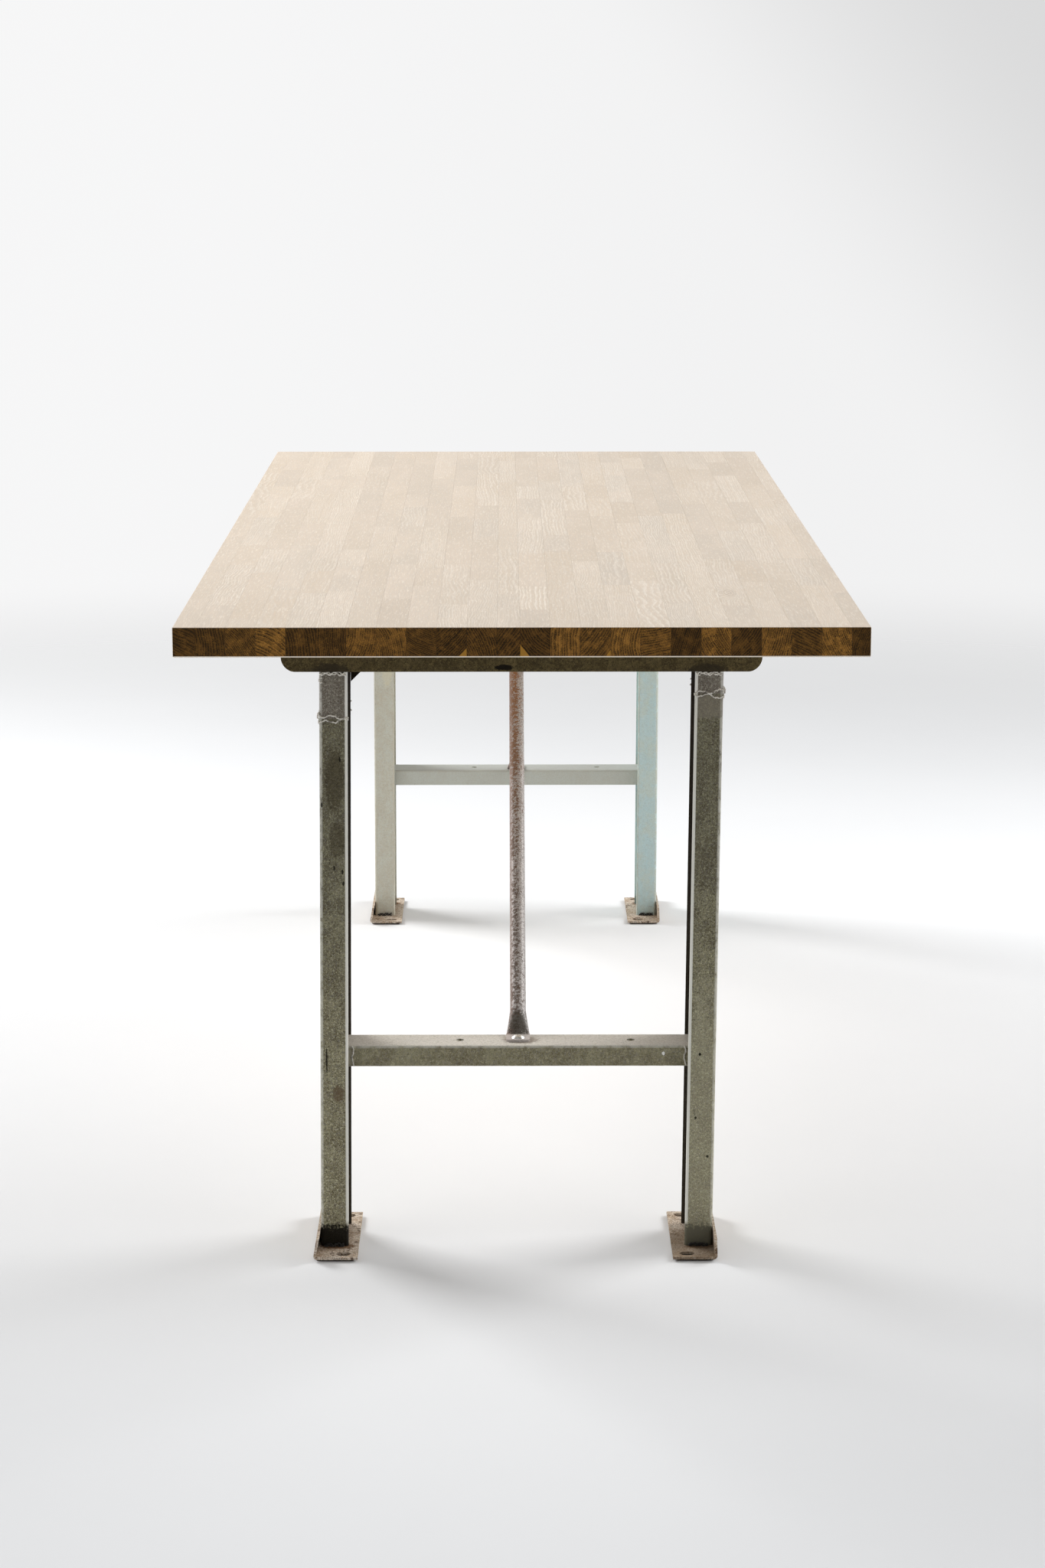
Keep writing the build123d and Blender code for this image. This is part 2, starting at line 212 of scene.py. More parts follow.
view = {
    "lens": 78.61,          # on a 36 mm sensor height
    "back": 4.4217,         # from the front end of the top
    "above": 0.7061,        # over the top's face
    "aside": -0.0222,
    "downTilt": 11.694,     # degrees
    "turn": -0.298,
}


def makeCamera():
    lens = bpy.data.cameras.new("tableCamera")
    lens.lens = view["lens"]
    camera = bpy.data.objects.new("tableCamera", lens)
    camera.location = (view["aside"], topLow.y - view["back"], topHigh.z + view["above"])
    camera.rotation_euler = (math.radians(90.0 - view["downTilt"]), 0.0, math.radians(view["turn"]))
    bpy.context.scene.collection.objects.link(camera)
    bpy.context.scene.camera = camera


makeCamera()
print("camera placed")


# studio: pale floor, pale surround, soft lamps

studio = {
    "floorColour": (0.825, 0.833, 0.845),
    "farFloor": 0.88,                   # painted shade: the paper's brightness far behind, against 1 in front
    "farFrom": 0.0,                     # where that shade sets in, and where it is full
    "farTo": 3.0,
    "scuffedFloor": 0.985,              # how dark its faint scuffs are
    "floorRadius": 12.0,
    "floorFadeFrom": 2.2,               # the paper melts into the surround between these distances
    "floorFadeTo": 5.6,
    "surround": (0.925, 0.925, 0.928),  # what the camera sees behind
    "duskyCorner": 0.80,                # its shade in the upper right corner, and along the right
    "duskyRight": 0.955,
    "light": (1.0, 1.0, 1.0),
    "frontGlow": 0.14,                  # how bright each side of the room is
    "backGlow": 0.67,
    "sideGlow": 1.01,
    "topGlow": 0.30,
    "lowGlow": 0.72,
    "lamps": (
        # name, place, aims at, size, watts
        ("left", (-3.1, 2.2, 3.0), (0.0, -0.6, 0.0), 2.0, 163.0),
        ("right", (3.5, 0.9, 2.8), (0.0, -0.6, 0.0), 2.2, 116.0),
        ("overhead", (0.0, -0.6, 3.6), (0.0, -0.6, 0.0), 2.6, 14.0),
    ),
}


def makeFloor():
    deselectAll()
    bpy.ops.mesh.primitive_circle_add(vertices=96, radius=studio["floorRadius"], fill_type="NGON")
    floor = bpy.context.object
    floor.name = "floor"
    material, tree, shader = startMaterial("floorPaper")
    where = place(tree)
    scuff = mottle(tree, where, 1.3, 5.0, 0.6)
    # painted shade on the far paper
    far = fade(tree, split(tree, where)[1], studio["farFrom"], studio["farTo"], 1.0, studio["farFloor"])
    shade = times(tree, fade(tree, scuff, 0.3, 0.7, 1.0, studio["scuffedFloor"]), far)
    paper = shaded(tree, studio["floorColour"], shade)
    link(tree, paper, shader, "Base Color")
    shader.inputs["Roughness"].default_value = 0.9
    shader.inputs["Specular IOR Level"].default_value = 0.2
    away = vectorCalc(tree, "LENGTH", where)
    clear = put(tree, "ShaderNodeBsdfTransparent")
    mixed = put(tree, "ShaderNodeMixShader")
    tree.links.new(fade(tree, away, studio["floorFadeFrom"], studio["floorFadeTo"]), mixed.inputs[0])
    tree.links.new(shader.outputs[0], mixed.inputs[1])
    tree.links.new(clear.outputs[0], mixed.inputs[2])
    tree.links.new(mixed.outputs[0], tree.nodes["Material Output"].inputs["Surface"])
    floor.data.materials.append(material)


def makeSurround():
    world = bpy.data.worlds.new("studioSurround")
    bpy.context.scene.world = world
    world.use_nodes = True
    tree = world.node_tree
    background = tree.nodes["Background"]
    x, y, z = split(tree, put(tree, "ShaderNodeTexCoord").outputs["Generated"])
    back = times(tree, fade(tree, y, -0.15, 0.55), studio["backGlow"])
    side = times(tree, fade(tree, calc(tree, "ABSOLUTE", x), 0.3, 0.8), studio["sideGlow"])
    walls = calc(tree, "MAXIMUM", calc(tree, "MAXIMUM", back, side), studio["frontGlow"])
    glow = between(tree, fade(tree, z, 0.35, 0.9), walls, studio["topGlow"])
    glow = between(tree, fade(tree, z, 0.02, -0.05), glow, studio["lowGlow"])
    lit = shaded(tree, studio["light"], glow)
    corner = fade(tree, calc(tree, "MULTIPLY_ADD", z, 0.8, x), 0.03, 0.17, 1.0, studio["duskyCorner"])
    across = times(tree, corner, fade(tree, x, -0.12, 0.12, 1.0, studio["duskyRight"]))
    seen = shaded(tree, studio["surround"], across)
    straight = put(tree, "ShaderNodeLightPath").outputs["Is Camera Ray"]
    link(tree, blend(tree, straight, lit, seen), background, "Color")


def makeLamps():
    for name, location, target, size, watts in studio["lamps"]:
        lamp = bpy.data.lights.new(name, "AREA")
        lamp.size = size
        lamp.energy = watts
        holder = bpy.data.objects.new(name, lamp)
        holder.location = location
        aim = Vector(target) - Vector(location)
        holder.rotation_euler = aim.to_track_quat("-Z", "Y").to_euler()
        holder.visible_camera = False
        bpy.context.scene.collection.objects.link(holder)


makeFloor()
makeSurround()
makeLamps()
bpy.context.scene.view_settings.view_transform = "Standard"
print("studio ready")


# the glued hardwood top

timber = {
    "easedEdge": 1.2 * mm,
    # the pale strip of the worn edge runs this far above it, as a painted highlight
    "rubbedAndLitHeight": 0.4 * mm,
    "paleFace": (0.685, 0.57, 0.45),
    "greyFace": (0.615, 0.52, 0.415),
    "warmFace": (0.65, 0.53, 0.40),
    "lateWood": (0.52, 0.41, 0.31),
    "limedLine": (0.90, 0.82, 0.71),
    "endDark": (0.040, 0.020, 0.005),
    "endWarm": (0.225, 0.105, 0.022),
    "endRay": (0.44, 0.22, 0.035),
    "endBlack": (0.016, 0.009, 0.003),
    "seam": (0.20, 0.13, 0.08),
    "seamWidth": 0.6 * mm,
    "seamOnFace": 0.025,                # how strongly a seam shows
    "seamOnEnd": 0.25,
    "seamPast": 5 * mm,                 # outer sides are no seam, so seams are carried past them
    "ringWidth": (2.2 * mm, 4.4 * mm),
    "pithAway": (45 * mm, 190 * mm),
    "boldBlock": (13, 325 * mm),        # row, and how far its middle is from the front end
    "boldTone": (1.03, 0.6, 1.0),
    "boldRings": (90 * mm, -30 * mm, 5 * mm),
    "knot": (20, 303 * mm),
    "knotAside": -4 * mm,
    "knotSize": (9 * mm, 34 * mm, 30 * mm),
    "knotDark": (0.36, 0.27, 0.19),
    "shadeAcross": (1.025, 0.920),       # painted shade: the top is painted a little darker to the right
    "shadeAlong": (1.0, 0.905),          # and towards the rear
    "sapCorners": {10: 1, 13: -1, 15: 1},   # rows with a paler lower corner, right 1, left -1
    "sapReach": 10 * mm,
    "noSap": 999.0,                     # more rings than any block holds
}


def ringField(tree):
    # growth rings of each block, as a saw-tooth from 0 to 1 across every ring
    where = place(tree)
    across = vectorCalc(tree, "SUBTRACT", where, carried(tree, "blockMiddle"))
    pithX, pithZ, width = split(tree, carried(tree, "ringPlace"))
    leanX, leanZ, seed = split(tree, carried(tree, "ringLean"))
    x, y, z = split(tree, across)
    shifted = vectorCalc(tree, "ADD", where, joinUp(tree, seed, seed, seed))
    swayX = less(tree, mottle(tree, shifted, 1.0, 2.0, 0.5, (14.0, 9.0, 14.0)), 0.5)
    swayZ = less(tree, mottle(tree, shifted, 1.0, 2.0, 0.5, (12.0, 7.0, 12.0)), 0.5)
    tremble = less(tree, mottle(tree, shifted, 1.0, 3.0, 0.65, (120.0, 20.0, 120.0)), 0.5)
    x = less(tree, x, calc(tree, "MULTIPLY_ADD", leanX, y, pithX))
    z = less(tree, z, calc(tree, "MULTIPLY_ADD", leanZ, y, pithZ))
    x = calc(tree, "MULTIPLY_ADD", swayX, 0.014, x)
    z = calc(tree, "MULTIPLY_ADD", swayZ, 0.014, z)
    radius = vectorCalc(tree, "LENGTH", joinUp(tree, x, 0.0, z))
    radius = calc(tree, "MULTIPLY_ADD", tremble, 0.0024, radius)
    count = calc(tree, "DIVIDE", radius, width)
    year = mottle(tree, joinUp(tree, times(tree, count, 0.7), seed, 0.0), 1.0, 1.0)
    count = calc(tree, "MULTIPLY_ADD", year, 1.5, count)        # good years and lean years
    return where, shifted, count


def seamMask(tree, where):
    # thin dark lines where blocks and rows meet
    off = vectorCalc(tree, "ABSOLUTE", vectorCalc(tree, "SUBTRACT", where, carried(tree, "blockMiddle")))
    inside = vectorCalc(tree, "SUBTRACT", carried(tree, "blockHalf"), off)
    side = vectorCalc(tree, "ABSOLUTE", put(tree, "ShaderNodeNewGeometry").outputs["Normal"])
    x, y = split(tree, vectorCalc(tree, "ADD", inside, side))[:2]
    return fade(tree, calc(tree, "MINIMUM", x, y), timber["seamWidth"], 0.1 * mm)


def knotField(tree, where):
    # 0 at the heart of the one knot, 1 at its rim
    low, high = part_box(f"top_stave_row_{timber['knot'][0]:02d}")
    middle = ((low.x + high.x) / 2 + timber["knotAside"], topLow.y + timber["knot"][1], topHigh.z)
    away = vectorCalc(tree, "SUBTRACT", where, middle)
    return vectorCalc(tree, "LENGTH", vectorCalc(tree, "DIVIDE", away, timber["knotSize"]))


def wornAndLitEdge(tree):
    # the eased lower edges, rubbed back to pale wood, with a thin strip of end above them painted pale too:
    # a painted highlight where the edge catches light from the floor
    x, y = facing(tree)[:2]
    sideways = calc(tree, "MAXIMUM", calc(tree, "ABSOLUTE", x), calc(tree, "ABSOLUTE", y))
    rubbed = topLow.z + timber["easedEdge"] + timber["rubbedAndLitHeight"]
    low = fade(tree, split(tree, place(tree))[2], rubbed + 0.3 * mm, rubbed - 0.1 * mm, 0.0, 0.95)
    return times(tree, fade(tree, sideways, 0.15, 0.3), low)


def makeFaceGrain():
    material, tree, shader = startMaterial("washedFaceGrain")
    where, shifted, count = ringField(tree)
    near = knotField(tree, where)
    count = plus(tree, count, fade(tree, near, 2.4, 0.2, 0.0, 5.0))
    ring = calc(tree, "FRACT", count)
    light, warmth, figure = split(tree, carried(tree, "blockTone"))
    late = times(tree, fade(tree, ring, 0.35, 0.95), fade(tree, ring, 1.0, 0.93))
    broken = mottle(tree, shifted, 1.0, 3.0, 0.7, (210.0, 30.0, 210.0))
    late = times(tree, late, fade(tree, broken, 0.33, 0.56, 0.25, 1.0))
    fibre = mottle(tree, shifted, 1.0, 4.0, 0.75, (420.0, 22.0, 420.0))
    other = vectorCalc(tree, "ADD", shifted, (0.37, 0.11, 0.23))
    pore = mottle(tree, other, 1.0, 3.0, 0.7, (520.0, 40.0, 520.0))
    cloud = mottle(tree, shifted, 1.0, 3.0, 0.5, (14.0, 4.0, 14.0))
    colour = blend(tree, warmth, timber["greyFace"], timber["warmFace"])
    colour = blend(tree, fade(tree, cloud, 0.3, 0.75), colour, timber["paleFace"])
    dark = times(tree, late, fade(tree, figure, -1.0, 1.0, 0.42, 0.10))
    colour = blend(tree, dark, colour, timber["lateWood"])
    bright = times(tree, late, fade(tree, figure, -0.5, 1.0, 0.10, 0.68))
    colour = blend(tree, bright, colour, timber["limedLine"])
    colour = blend(tree, fade(tree, pore, 0.52, 0.66, 0.0, 0.45), colour, timber["limedLine"])
    shade = calc(tree, "MULTIPLY_ADD", less(tree, fibre, 0.5), 0.42, light)
    x, y = split(tree, where)[:2]
    # painted shade: the face grain is darkened a little to the right and towards the rear
    shade = times(tree, shade, fade(tree, x, topLow.x, topHigh.x, *timber["shadeAcross"]))
    shade = times(tree, shade, fade(tree, y, topLow.y, topHigh.y, *timber["shadeAlong"]))
    colour = shaded(tree, colour, shade)
    whorl = calc(tree, "FRACT", calc(tree, "MULTIPLY_ADD", broken, 2.0, times(tree, near, 2.6)))
    whorl = times(tree, fade(tree, whorl, 0.4, 0.9), fade(tree, near, 1.5, 0.7, 0.0, 0.5))
    colour = blend(tree, whorl, colour, timber["knotDark"])
    colour = blend(tree, times(tree, seamMask(tree, where), timber["seamOnFace"]), colour, timber["seam"])
    colour = blend(tree, wornAndLitEdge(tree), colour, timber["limedLine"])
    link(tree, colour, shader, "Base Color")
    link(tree, fade(tree, fibre, 0.2, 0.8, 0.30, 0.46), shader, "Roughness")
    shader.inputs["Specular IOR Level"].default_value = 0.38
    height = calc(tree, "MULTIPLY_ADD", late, 0.5, times(tree, pore, 0.6))
    link(tree, bump(tree, height, 0.16, 0.12 * mm), shader, "Normal")
    return material


def makeEndGrain():
    material, tree, shader = startMaterial("oiledEndGrain")
    where, shifted, count = ringField(tree)
    ring = calc(tree, "FRACT", count)
    warmth = split(tree, carried(tree, "blockTone"))[1]
    late = times(tree, fade(tree, ring, 0.1, 0.8), fade(tree, ring, 1.0, 0.85))
    speck = mottle(tree, shifted, 900.0, 3.0, 0.75)
    other = vectorCalc(tree, "ADD", shifted, (0.23, 0.41, 0.17))
    grit = mottle(tree, other, 800.0, 3.0, 0.75)
    blotch = mottle(tree, shifted, 90.0, 3.0, 0.6)
    colour = blend(tree, times(tree, late, 0.80), timber["endDark"], timber["endWarm"])
    colour = blend(tree, fade(tree, blotch, 0.48, 0.64, 0.0, 0.5), colour, timber["endWarm"])
    colour = blend(tree, fade(tree, speck, 0.50, 0.68, 0.0, 0.60), colour, timber["endRay"])
    colour = blend(tree, fade(tree, grit, 0.50, 0.66, 0.0, 0.60), colour, timber["endBlack"])
    shade = times(tree, fade(tree, blotch, 0.25, 0.75, 0.75, 1.25), fade(tree, warmth, 0.0, 1.0, 0.5, 1.42))
    colour = shaded(tree, colour, shade)
    sap = put(tree, "ShaderNodeAttribute", attribute_name="sapFrom").outputs["Fac"]
    sap = fade(tree, less(tree, count, sap), 0.0, 0.25, 0.0, 0.85)
    colour = blend(tree, sap, colour, timber["endRay"])
    colour = blend(tree, times(tree, seamMask(tree, where), timber["seamOnEnd"]), colour, timber["endBlack"])
    colour = blend(tree, wornAndLitEdge(tree), colour, timber["limedLine"])
    link(tree, colour, shader, "Base Color")
    link(tree, fade(tree, speck, 0.3, 0.8, 0.60, 0.80), shader, "Roughness")
    shader.inputs["Specular IOR Level"].default_value = 0.12
    link(tree, bump(tree, plus(tree, speck, late), 0.25, 0.12 * mm), shader, "Normal")
    return material


def blockFacts(row, low, high):
    # how one block was sawn and how it took the finish
    width = draw.uniform(*timber["ringWidth"])
    away = draw.uniform(*timber["pithAway"])
    turn = draw.choice((0.0, math.pi)) + draw.triangular(-1.35, 1.35, draw.choice((-0.7, 0.7)))
    facts = {
        "ringPlace": (away * math.cos(turn), away * math.sin(turn), width),
        "ringLean": (draw.uniform(-0.018, 0.018), draw.uniform(-0.018, 0.018), draw.uniform(-40.0, 40.0)),
        "blockTone": (draw.uniform(0.975, 1.02), draw.uniform(0.0, 1.0), draw.uniform(-0.7, 0.7)),
    }
    facts["sapFrom"] = timber["noSap"]
    if row in timber["sapCorners"] and low.y - topLow.y < mm:
        hand = timber["sapCorners"][row]
        pith = Vector((-hand * away * 0.75, away * 0.66))
        corner = Vector((hand * (high.x - low.x) / 2, -(high.z - low.z) / 2))
        facts["ringPlace"] = (pith.x, pith.y, width)
        facts["sapFrom"] = ((corner - pith).length - timber["sapReach"]) / width + 0.75
    boldRow, boldPlace = timber["boldBlock"]
    if row == boldRow and low.y < topLow.y + boldPlace < high.y:
        facts["blockTone"] = timber["boldTone"]
        facts["ringPlace"] = timber["boldRings"]
    return facts


def makeRow(row, faceGrain, endGrain):
    node = f"top_stave_row_{row:02d}"
    blocks = sorted(solidBoxes(node), key=lambda box: box[0].y)
    deselectAll()
    mesh = bpy.data.meshes.new(f"block_row_{row:02d}")
    piece = bpy.data.objects.new(f"block_row_{row:02d}", mesh)
    bpy.context.scene.collection.objects.link(piece)
    bpy.context.view_layer.objects.active = piece
    bpy.ops.object.mode_set(mode="EDIT")
    for low, high in blocks:
        bpy.ops.mesh.primitive_cube_add(size=1.0, location=(low + high) / 2, scale=high - low)
    bpy.ops.mesh.select_all(action="DESELECT")
    shape = bmesh.from_edit_mesh(mesh)

    def outerPlanes(vertex):
        return {(i, limit) for i in range(3) for limit in (topLow[i], topHigh[i])
                if abs(vertex.co[i] - limit) < close}

    bpy.ops.mesh.select_mode(type="EDGE")
    for edge in shape.edges:
        if len(outerPlanes(edge.verts[0]) & outerPlanes(edge.verts[1])) == 2:
            edge.select_set(True)
    bmesh.update_edit_mesh(mesh)
    bpy.ops.mesh.bevel(offset=timber["easedEdge"], segments=3, affect="EDGES")
    bpy.ops.object.mode_set(mode="OBJECT")
    mesh.materials.append(faceGrain)
    mesh.materials.append(endGrain)
    facts = []
    for low, high in blocks:
        known = blockFacts(row, low, high)
        past = timber["seamPast"]
        lowSeam = [low[i] - (past if abs(low[i] - topLow[i]) < mm else 0.0) for i in range(3)]
        highSeam = [high[i] + (past if abs(high[i] - topHigh[i]) < mm else 0.0) for i in range(3)]
        known["blockMiddle"] = [(a + b) / 2 for a, b in zip(lowSeam, highSeam)]
        known["blockHalf"] = [(b - a) / 2 for a, b in zip(lowSeam, highSeam)]
        facts.append(known)
    owners = []
    for face in mesh.polygons:
        middle = face.center.y
        owners.append(next(i for i, (low, high) in enumerate(blocks)
                           if low.y - close < middle < high.y + close))
        face.material_index = 1 if abs(face.normal.y) > 0.8 else 0
    for name in ("blockMiddle", "blockHalf", "ringPlace", "ringLean", "blockTone"):
        layer = mesh.attributes.new(name, "FLOAT_VECTOR", "FACE")
        layer.data.foreach_set("vector", [part for owner in owners for part in facts[owner][name]])
    layer = mesh.attributes.new("sapFrom", "FLOAT", "FACE")
    layer.data.foreach_set("value", [facts[owner]["sapFrom"] for owner in owners])
    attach(piece, "root")
    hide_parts(node)


faceGrain = makeFaceGrain()
endGrain = makeEndGrain()
rowCount = sum(1 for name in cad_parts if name.startswith("top_stave_row_"))
for row in range(1, rowCount + 1):
    makeRow(row, faceGrain, endGrain)
print("top glued up from", rowCount, "rows")


# painted, bare and rusty steel

steel = {
    # how every kind of steel wears, unless its own entry says otherwise
    "fleckAmount": 0.9,         # how strongly chips and glints show
    "edgeAmount": 0.5,          # how strongly the folds take the edge colour: rubbed paint, and a painted highlight where that colour is pale
    "rough": (0.40, 0.60),
    "metallic": 0.0,
    "dusty": 0.85,              # how much dust lies on what faces up
    "gloss": 0.30,
    "pitFrom": 0.68,            # lower is more pitted
    "headShade": 0.95,          # how dark the head of a leg is made, lower is darker
}
paints = {
    "olive": {
        **steel, "rough": (0.36, 0.60), "gloss": 0.25, "headShade": 0.60,
        "paint": (0.290, 0.268, 0.160), "patch": (0.165, 0.140, 0.078), "fleck": (0.050, 0.040, 0.018),
        # the olive edge colour is near white: a painted highlight on folds and flange edges
        "glint": (0.62, 0.59, 0.39), "dust": (0.80, 0.76, 0.70), "edge": (0.80, 0.79, 0.72),
        "cool": (0.245, 0.230, 0.215),
    },
    "sage": {
        **steel, "fleckAmount": 0.40,
        "paint": (0.60, 0.60, 0.505), "patch": (0.55, 0.515, 0.41), "fleck": (0.40, 0.35, 0.25),
        "glint": (0.70, 0.73, 0.68), "dust": (0.54, 0.53, 0.51), "edge": (0.50, 0.45, 0.36),
        "cool": (0.58, 0.62, 0.60),
    },
    "blue": {
        **steel, "fleckAmount": 0.40,
        "paint": (0.50, 0.665, 0.675), "patch": (0.56, 0.64, 0.57), "fleck": (0.36, 0.42, 0.38),
        "glint": (0.64, 0.78, 0.80), "dust": (0.50, 0.52, 0.48), "edge": (0.42, 0.36, 0.27),
        "cool": (0.56, 0.68, 0.70),
    },
    "millSteel": {
        **steel, "fleckAmount": 0.75, "edgeAmount": 0.3, "rough": (0.55, 0.75), "gloss": 0.12,
        "paint": (0.102, 0.078, 0.032), "patch": (0.052, 0.038, 0.014), "fleck": (0.020, 0.014, 0.006),
        "glint": (0.18, 0.145, 0.060), "dust": (0.25, 0.22, 0.17), "edge": (0.10, 0.085, 0.05),
        "cool": (0.070, 0.052, 0.030),
    },
    "bareSteel": {
        **steel, "rough": (0.34, 0.52), "metallic": 0.25,
        "paint": (0.20, 0.178, 0.140), "patch": (0.14, 0.120, 0.090), "fleck": (0.065, 0.052, 0.036),
        # the bare steel edge colour is near white: a painted highlight on folds and flange edges
        "glint": (0.46, 0.43, 0.36), "dust": (0.45, 0.42, 0.36), "edge": (0.80, 0.79, 0.74),
        "cool": (0.22, 0.20, 0.18),
    },
    "rustyPlate": {
        **steel, "fleckAmount": 1.0, "edgeAmount": 0.6, "rough": (0.60, 0.82), "gloss": 0.20,
        "dusty": 0.15, "pitFrom": 0.57,
        "paint": (0.76, 0.67, 0.56), "patch": (0.44, 0.32, 0.21), "fleck": (0.07, 0.032, 0.015),
        "glint": (0.86, 0.80, 0.70), "dust": (0.46, 0.37, 0.28), "edge": (0.20, 0.15, 0.10),
        "cool": (0.30, 0.16, 0.08),
    },
}
stains = {
    "soot": (0.012, 0.010, 0.008),
    "oil": (0.045, 0.033, 0.017),
    # painted shade with dark grime, for the hollows of the leg channels
    "hollowShadeAndGrime": (0.026, 0.016, 0.010),
    "scorch": (0.03, 0.025, 0.018),
    "rust": (0.13, 0.065, 0.03),
    "dirt": (0.17, 0.12, 0.075),
    "brown": (0.13, 0.09, 0.055),
    "boltRust": (0.20, 0.15, 0.11),
    "heelRust": (0.10, 0.07, 0.04),
    "weldHeat": (0.24, 0.215, 0.175),
    "dullSage": (0.46, 0.50, 0.48),
    "shadedSage": (0.30, 0.29, 0.24),
    "ochre": (0.60, 0.52, 0.30),
    "cream": (0.72, 0.68, 0.50),
    "paleOlive": (0.46, 0.44, 0.32),
    "leftRub": (0.50, 0.46, 0.36),
    "rightRub": (0.48, 0.45, 0.37),
    "bared": (0.86, 0.86, 0.83),
}
legFlange = 38 * mm


def paintCoat(tree, where, look, calm):
    # paint, worn patches, streaks and a speckle of chips, with the textures they came from
    patch = fade(tree, mottle(tree, where, 34.0, 5.0, 0.75, (1.0, 1.0, 0.8)), 0.42, 0.60)
    streak = fade(tree, mottle(tree, where, 1.0, 3.0, 0.6, (120.0, 120.0, 5.0)), 0.35, 0.7, 0.0, 0.35)
    fine = grain(tree, where, 820.0, 330.0)
    other = grain(tree, vectorCalc(tree, "ADD", where, (3.1, 1.7, 0.4)), 700.0, 290.0)
    coarse = mottle(tree, where, 95.0, 3.0, 0.65)
    tint = mottle(tree, vectorCalc(tree, "ADD", where, (0.7, 5.2, 2.9)), 520.0, 3.0, 0.8)
    amount = look["fleckAmount"] * calm
    colour = blend(tree, times(tree, patch, 0.8), look["paint"], look["patch"])
    colour = blend(tree, streak, colour, look["patch"])
    colour = blend(tree, times(tree, fade(tree, fine, 0.47, 0.61), amount), colour, look["fleck"])
    colour = blend(tree, times(tree, fade(tree, other, 0.49, 0.63), amount * 0.8), colour, look["glint"])
    colour = blend(tree, fade(tree, tint, 0.50, 0.64, 0.0, 0.55), colour, look["cool"])
    pits = fade(tree, coarse, look["pitFrom"], look["pitFrom"] + 0.08, 0.0, 0.8)
    return blend(tree, pits, colour, look["fleck"]), patch, fine, other, coarse


def headDarkening(tree, where, patch, headShade):
    # darker towards the head of a leg, a little lighter towards its foot
    height = calc(tree, "MULTIPLY_ADD", patch, 0.08, split(tree, where)[2])
    return fade(tree, height, 0.15, 0.72, 1.14, headShade)


def settledDust(tree, fine, other, dusty):
    # dust on what faces up, knocked off in specks
    up = fade(tree, facing(tree)[2], 0.6, 0.95, 0.0, dusty)
    kept = times(tree, fade(tree, other, 0.64, 0.48, 0.65, 1.0), fade(tree, fine, 0.62, 0.46, 0.65, 1.0))
    return times(tree, up, kept)


def bendWearAndHighlight(tree, coarse, amount):
    # the edge colour where the sheet is folded, between one flat face and the next: paint rubbed through,
    # and on olive and bare steel a painted highlight
    normal = put(tree, "ShaderNodeNewGeometry").outputs["Normal"]
    x, y, z = split(tree, vectorCalc(tree, "ABSOLUTE", normal))
    bend = calc(tree, "MULTIPLY_ADD", y, plus(tree, x, z), times(tree, x, z))
    return times(tree, fade(tree, bend, 0.12, 0.45, 0.0, amount), fade(tree, coarse, 0.30, 0.55, 0.2, 1.0))


def legHollowShadeAndGrime(tree, where, leg):
    # painted shade and old black grime in the hollow of a leg channel, never on the outside of its web
    low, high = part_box(leg)
    outward = 1.0 if low.x + high.x > 0.0 else -1.0
    y = split(tree, where)[1]
    hollow = times(tree, fade(tree, y, low.y + 5 * mm, low.y + 12 * mm),
                   fade(tree, y, high.y - 0.2 * mm, high.y - 1.0 * mm))
    turned = times(tree, facing(tree)[0], outward)
    return times(tree, hollow, fade(tree, turned, 0.3, 0.05, 0.0, 0.9))


def toeHighlight(tree, where, leg):
    # a painted highlight down the open edge of a leg's near flange, where its rounded edge catches the
    # light; the leg leans, so its line does too
    low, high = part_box(leg)
    right = low.x + high.x > 0.0
    x, y, z = split(tree, where)
    bottom = low.x if right else low.x + legFlange
    top = high.x - legFlange if right else high.x
    line = put(tree, "ShaderNodeMapRange", {"Value": z, "From Min": low.z, "From Max": high.z,
                                            "To Min": bottom, "To Max": top}).outputs[0]
    away = less(tree, x, line) if right else less(tree, line, x)
    front = fade(tree, y, low.y + 4.4 * mm, low.y + 4.0 * mm)
    clean = fade(tree, z, 36 * mm, 44 * mm)
    stripe = fade(tree, away, 4.1 * mm, 3.4 * mm, 0.0, 0.95)
    return times(tree, times(tree, stripe, front), clean)


